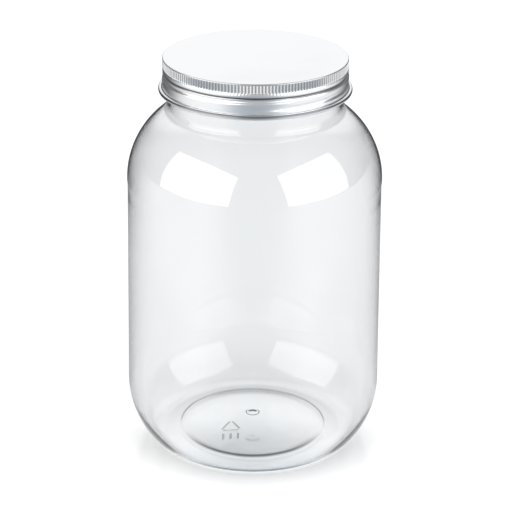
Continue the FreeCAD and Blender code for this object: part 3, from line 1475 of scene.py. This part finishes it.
    def build(self) -> bpy.types.Object:
        """Makes the sheet and its finish.

        Returns:
            The floor's object.
        """
        mesh = self._sheet()
        mesh.materials.append(self._finish())
        made = add_object("floor", mesh)
        return made


def sight(graph: Graph) -> tuple[Signal, Signal]:
    """Tells how a ray came here.

    Args:
        graph: Nodes of the material or world that is looked at.

    Returns:
        1 for what is seen directly or through clear walls, and 1 for what is
        seen in a mirror on the way; both are 0 for diffuse light.
    """
    path = graph.node("ShaderNodeLightPath")
    straight = graph.signal(path, "Diffuse Depth").below(0.5)
    unmirrored = graph.signal(path, "Glossy Depth").below(0.5)
    open_view = graph.signal(path, "Is Camera Ray").most(graph.signal(path, "Is Transmission Ray"))
    return straight * unmirrored * open_view, straight * (1.0 - unmirrored)


@dataclass(frozen=True)
class Surroundings:
    """The studio round the jar: white behind it, dim at the sides and in front."""

    ambient: float = 0.40
    side: float = 0.12
    front: float = 0.40
    front_turn: Span = (0.05, -0.55)
    backdrop_tilt: float = 38.0
    backdrop_full: float = 34.0
    backdrop_end: float = 46.0

    def build(self) -> bpy.types.World:
        """Makes the world.

        Formula: mirrored rays see 1 within backdrop_full degrees of the tilted
        +Y axis, fading until backdrop_end to the side's level, which falls to
        the front's level towards -Y. What is seen directly or through clear
        walls is white, and diffuse light gets the ambient level.

        Returns:
            The world.
        """
        made = bpy.data.worlds.new("studio")
        made.use_nodes = True
        bpy.context.scene.world = made
        graph = Graph(made.node_tree)
        direction = graph.node("ShaderNodeTexCoord").outputs["Generated"]
        tilt = math.radians(self.backdrop_tilt)
        facing = graph.node(
            "ShaderNodeVectorMath",
            {"operation": "DOT_PRODUCT"},
            {0: direction, 1: (0.0, math.cos(tilt), math.sin(tilt))},
        )
        white = graph.signal(facing, "Value").ramp(
            math.cos(math.radians(self.backdrop_end)), math.cos(math.radians(self.backdrop_full))
        )
        parts = graph.node("ShaderNodeSeparateXYZ", None, {0: direction})
        forward = graph.signal(parts, 1).ramp(*self.front_turn)
        dim = self.side + (self.front - self.side) * forward
        studio = dim + (1.0 - dim) * white
        plain, mirrored = sight(graph)
        strength = plain + mirrored * studio + (1.0 - plain) * (1.0 - mirrored) * self.ambient
        light = graph.node("ShaderNodeBackground", None, {"Color": WHITE, "Strength": strength})
        graph.node("ShaderNodeOutputWorld", None, {"Surface": light})
        return made


@dataclass(frozen=True)
class Camera:
    """The camera, a little above the jar and turned a hair about its own axis."""

    position: Triple = (0.00063, -1.10374, 0.58669)
    target: Triple = (0.00063, 0.0, 0.11807)
    lens: float = 137.96
    sensor: float = 36.0
    nearest: float = 0.02
    farthest: float = 60.0
    roll: float = 0.491

    def build(self) -> bpy.types.Object:
        """Makes the camera the scene's own.

        Returns:
            The camera's object.
        """
        data = bpy.data.cameras.new("camera")
        data.lens = self.lens
        data.sensor_width = self.sensor
        data.clip_start = self.nearest
        data.clip_end = self.farthest
        made = add_object("camera", data)
        view = (Vector(self.target) - Vector(self.position)).to_track_quat("-Z", "Y")
        made.rotation_mode = "QUATERNION"
        made.rotation_quaternion = view @ Quaternion((0, 0, 1), math.radians(self.roll))
        made.location = self.position
        bpy.context.scene.camera = made
        return made


@dataclass
class Studio:
    """Floor, lamps, surroundings and camera."""

    floor: Floor = field(default_factory=Floor)
    lamps: tuple[Softbox, ...] = (
        Softbox("left_softbox", -56.5, 2.73),
        Softbox("right_softbox", 59.5, 2.37, colour=(0.93, 0.97, 1.0)),
    )
    surroundings: Surroundings = field(default_factory=Surroundings)
    camera: Camera = field(default_factory=Camera)

    def build(self) -> None:
        """Makes everything that isn't the jar."""
        self.camera.build()
        self.floor.build()
        for lamp in self.lamps:
            lamp.build()
            log.info("lamp %s", lamp.name)
        self.surroundings.build()
        bpy.context.scene.view_settings.view_transform = "Standard"


def report(made: bpy.types.Object) -> None:
    """Logs a piece's name and size.

    Args:
        made: The piece.
    """
    corners = np.array(made.bound_box)
    size = (corners.max(axis=0) - corners.min(axis=0)) / MILLIMETRE
    faces = sum(len(polygon.vertices) - 2 for polygon in made.data.polygons)
    log.info("%s: %.2f x %.2f x %.2f mm, %d triangles", made.name, *size, faces)


def main() -> None:
    """Builds the studio and the pieces in order."""
    logging.basicConfig(level=logging.INFO, format="%(name)s %(message)s")
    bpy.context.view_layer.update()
    Studio().build()
    Jar().build()
    Lid().build()


if __name__ == "__main__":
    main()
